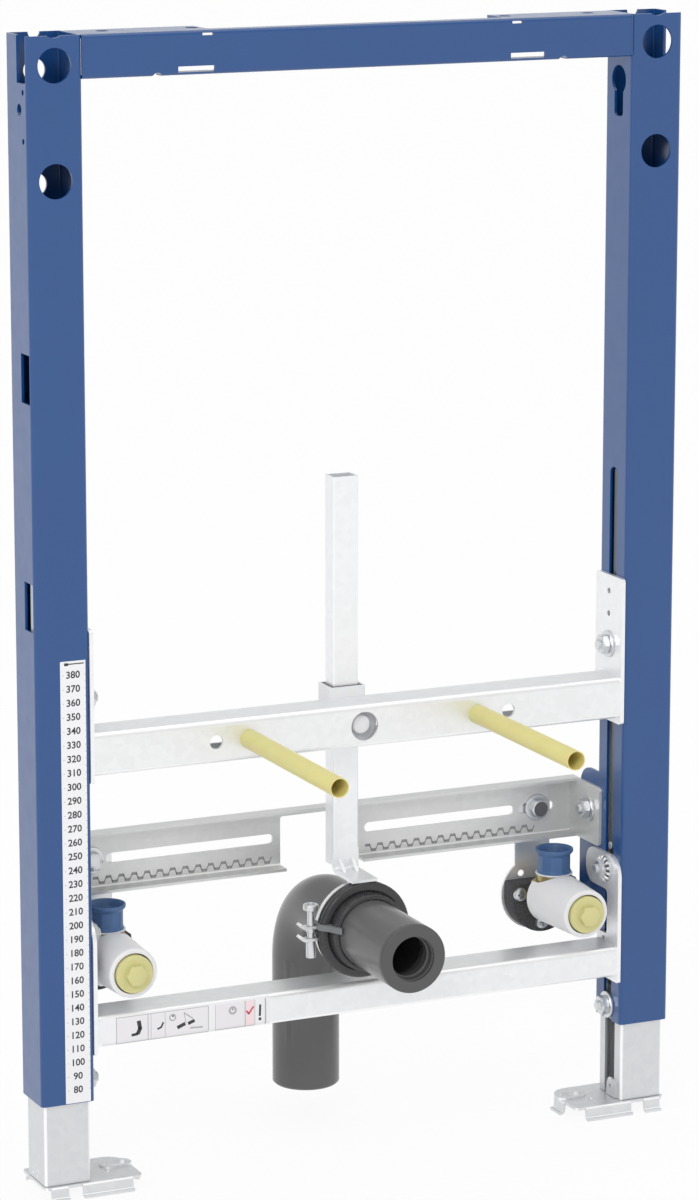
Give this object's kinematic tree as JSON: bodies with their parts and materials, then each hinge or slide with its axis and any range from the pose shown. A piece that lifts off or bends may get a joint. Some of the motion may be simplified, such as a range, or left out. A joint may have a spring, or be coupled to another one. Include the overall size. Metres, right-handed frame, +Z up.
{
  "type": "bidet installation frame",
  "caption": "Steel frame for a wall-hung bidet, with telescopic legs, fixing rods, a height-set waste bend and two water connections.",
  "frame": {"origin": "on the floor, midway between the posts and on their mid-depth plane", "axes": "+X from the left post to the right post, +Y back towards the wall, +Z up"},
  "size_m": [0.5, 0.2825, 0.82],
  "materials": {
    "blue_enamel": "satin powder coat",
    "zinc_sheet": "galvanised sheet",
    "zinc_bolts": "bright zinc plate",
    "clamp_band": "galvanised band",
    "yellow_plastic": "moulded",
    "cream_plastic": "moulded",
    "grey_pipe": "extruded, satin",
    "black_rubber": "moulded rubber",
    "dark_foam": "sound-insulating pad",
    "white_plastic": "moulded",
    "blue_plastic": "moulded",
    "brass": "cast and machined"
  },
  "bodies": {
    "frame": {"left_post": "blue_enamel", "right_post": "blue_enamel", "top_rail": "blue_enamel", "upper_crossbar": "zinc_sheet", "lower_crossbar": "zinc_sheet", "rear_crossbar": "zinc_sheet", "left_upper_plate": "zinc_sheet", "right_upper_plate": "zinc_sheet", "left_lower_bracket": "zinc_sheet", "right_lower_bracket": "zinc_sheet", "left_water_plate": "zinc_sheet", "right_water_plate": "zinc_sheet", "left_leg_bolt": "zinc_bolts", "right_leg_bolt": "zinc_bolts", "upper_bolts": "zinc_bolts", "lower_bolts": "zinc_bolts", "rear_bolts": "zinc_bolts", "water_bolts": "zinc_bolts", "left_fixing_rod": "zinc_bolts", "right_fixing_rod": "zinc_bolts", "left_rod_sleeve": "yellow_plastic", "right_rod_sleeve": "yellow_plastic", "left_water_plug": "cream_plastic", "right_water_plug": "cream_plastic", "left_water_pad": "dark_foam", "right_water_pad": "dark_foam", "left_water_shell": "white_plastic", "right_water_shell": "white_plastic", "bar_guide": "white_plastic", "left_water_cap": "blue_plastic", "right_water_cap": "blue_plastic", "left_water_elbow": "brass", "right_water_elbow": "brass"},
    "waste": {"waste_bar": "zinc_sheet", "clamp_upper": "clamp_band", "clamp_lower": "clamp_band", "clamp_screws": "zinc_bolts", "clamp_rubber": "black_rubber", "waste_bend": "grey_pipe", "inlet_seal": "black_rubber"},
    "left_leg": {"left_leg": "zinc_sheet"},
    "right_leg": {"right_leg": "zinc_sheet"},
    "left_foot": {"left_foot_plate": "zinc_sheet"},
    "right_foot": {"right_foot_plate": "zinc_sheet"}
  },
  "joints": [
    {"name": "left_leg_slide", "type": "slide", "parent": "frame", "child": "left_leg", "axis": [0, 0, -1], "range_m": [0, 0.2]},
    {"name": "right_leg_slide", "type": "slide", "parent": "frame", "child": "right_leg", "axis": [0, 0, -1], "range_m": [0, 0.2]},
    {"name": "left_foot_swivel", "type": "hinge", "parent": "left_leg", "child": "left_foot", "pos_m": [-0.23, 0, 0], "axis": [0, 0, 1], "range_deg": [-90, 90]},
    {"name": "right_foot_swivel", "type": "hinge", "parent": "right_leg", "child": "right_foot", "pos_m": [0.23, 0, 0], "axis": [0, 0, 1], "range_deg": [-90, 90]},
    {"name": "waste_height_slide", "type": "slide", "parent": "frame", "child": "waste", "axis": [0, 0, 1], "range_m": [0, 0.03]}
  ]
}
